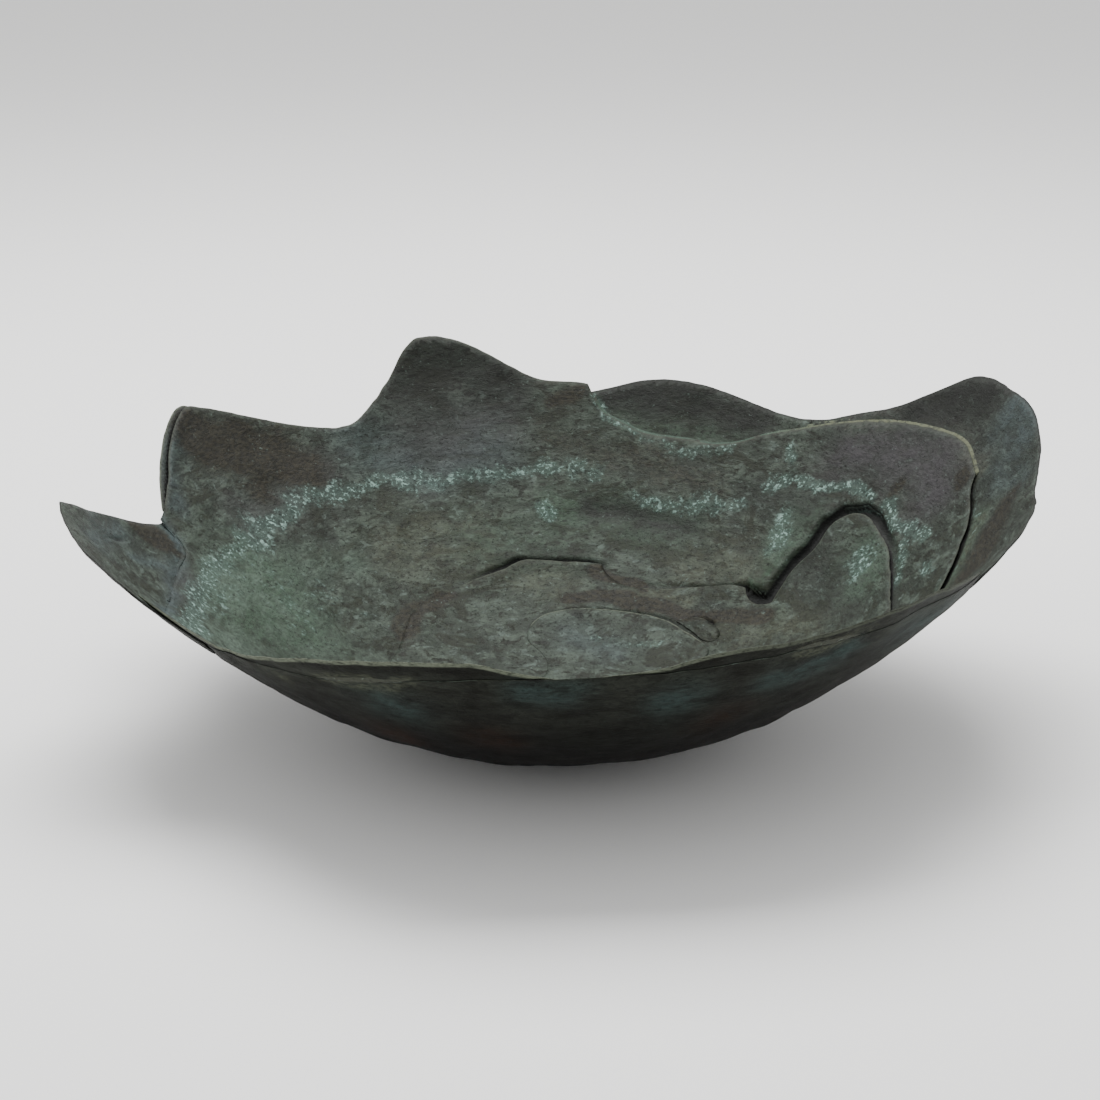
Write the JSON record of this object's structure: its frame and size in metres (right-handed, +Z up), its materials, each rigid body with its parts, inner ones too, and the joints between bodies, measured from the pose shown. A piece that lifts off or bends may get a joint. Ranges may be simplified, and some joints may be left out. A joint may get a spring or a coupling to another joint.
{
  "type": "bowl",
  "caption": "Wide round-bottomed bowl of lapped hammered copper sheets with a free-form wavy rim, a pointed left lip, a tall right lobe and dark verdigris patina.",
  "frame": {"origin": "centre of the flat spot that the bowl rests on, at the bottom of the outer dish", "axes": "+Z up out of the bowl's mouth, +X to the tall right lobe, +Y to the back wall with the hump"},
  "size_m": [0.4461, 0.4229, 0.1451],
  "materials": {
    "patinated_copper": null,
    "dark_outer_copper": null,
    "braze_filler": "pale matt weathered braze"
  },
  "bodies": {
    "root": {"outer_dish": "dark_outer_copper", "right_lobe": "patinated_copper", "back_crest": "patinated_copper", "left_point": "patinated_copper", "left_backing": "patinated_copper", "back_wall": "patinated_copper", "front_wall": "patinated_copper", "floor_liner": "patinated_copper", "floor_leaf": "patinated_copper", "floor_sliver": "patinated_copper", "right_seam_braze": "braze_filler", "back_seam_braze": "braze_filler", "left_seam_braze": "braze_filler", "front_braze_left": "braze_filler", "front_braze_right": "braze_filler"}
  },
  "joints": []
}
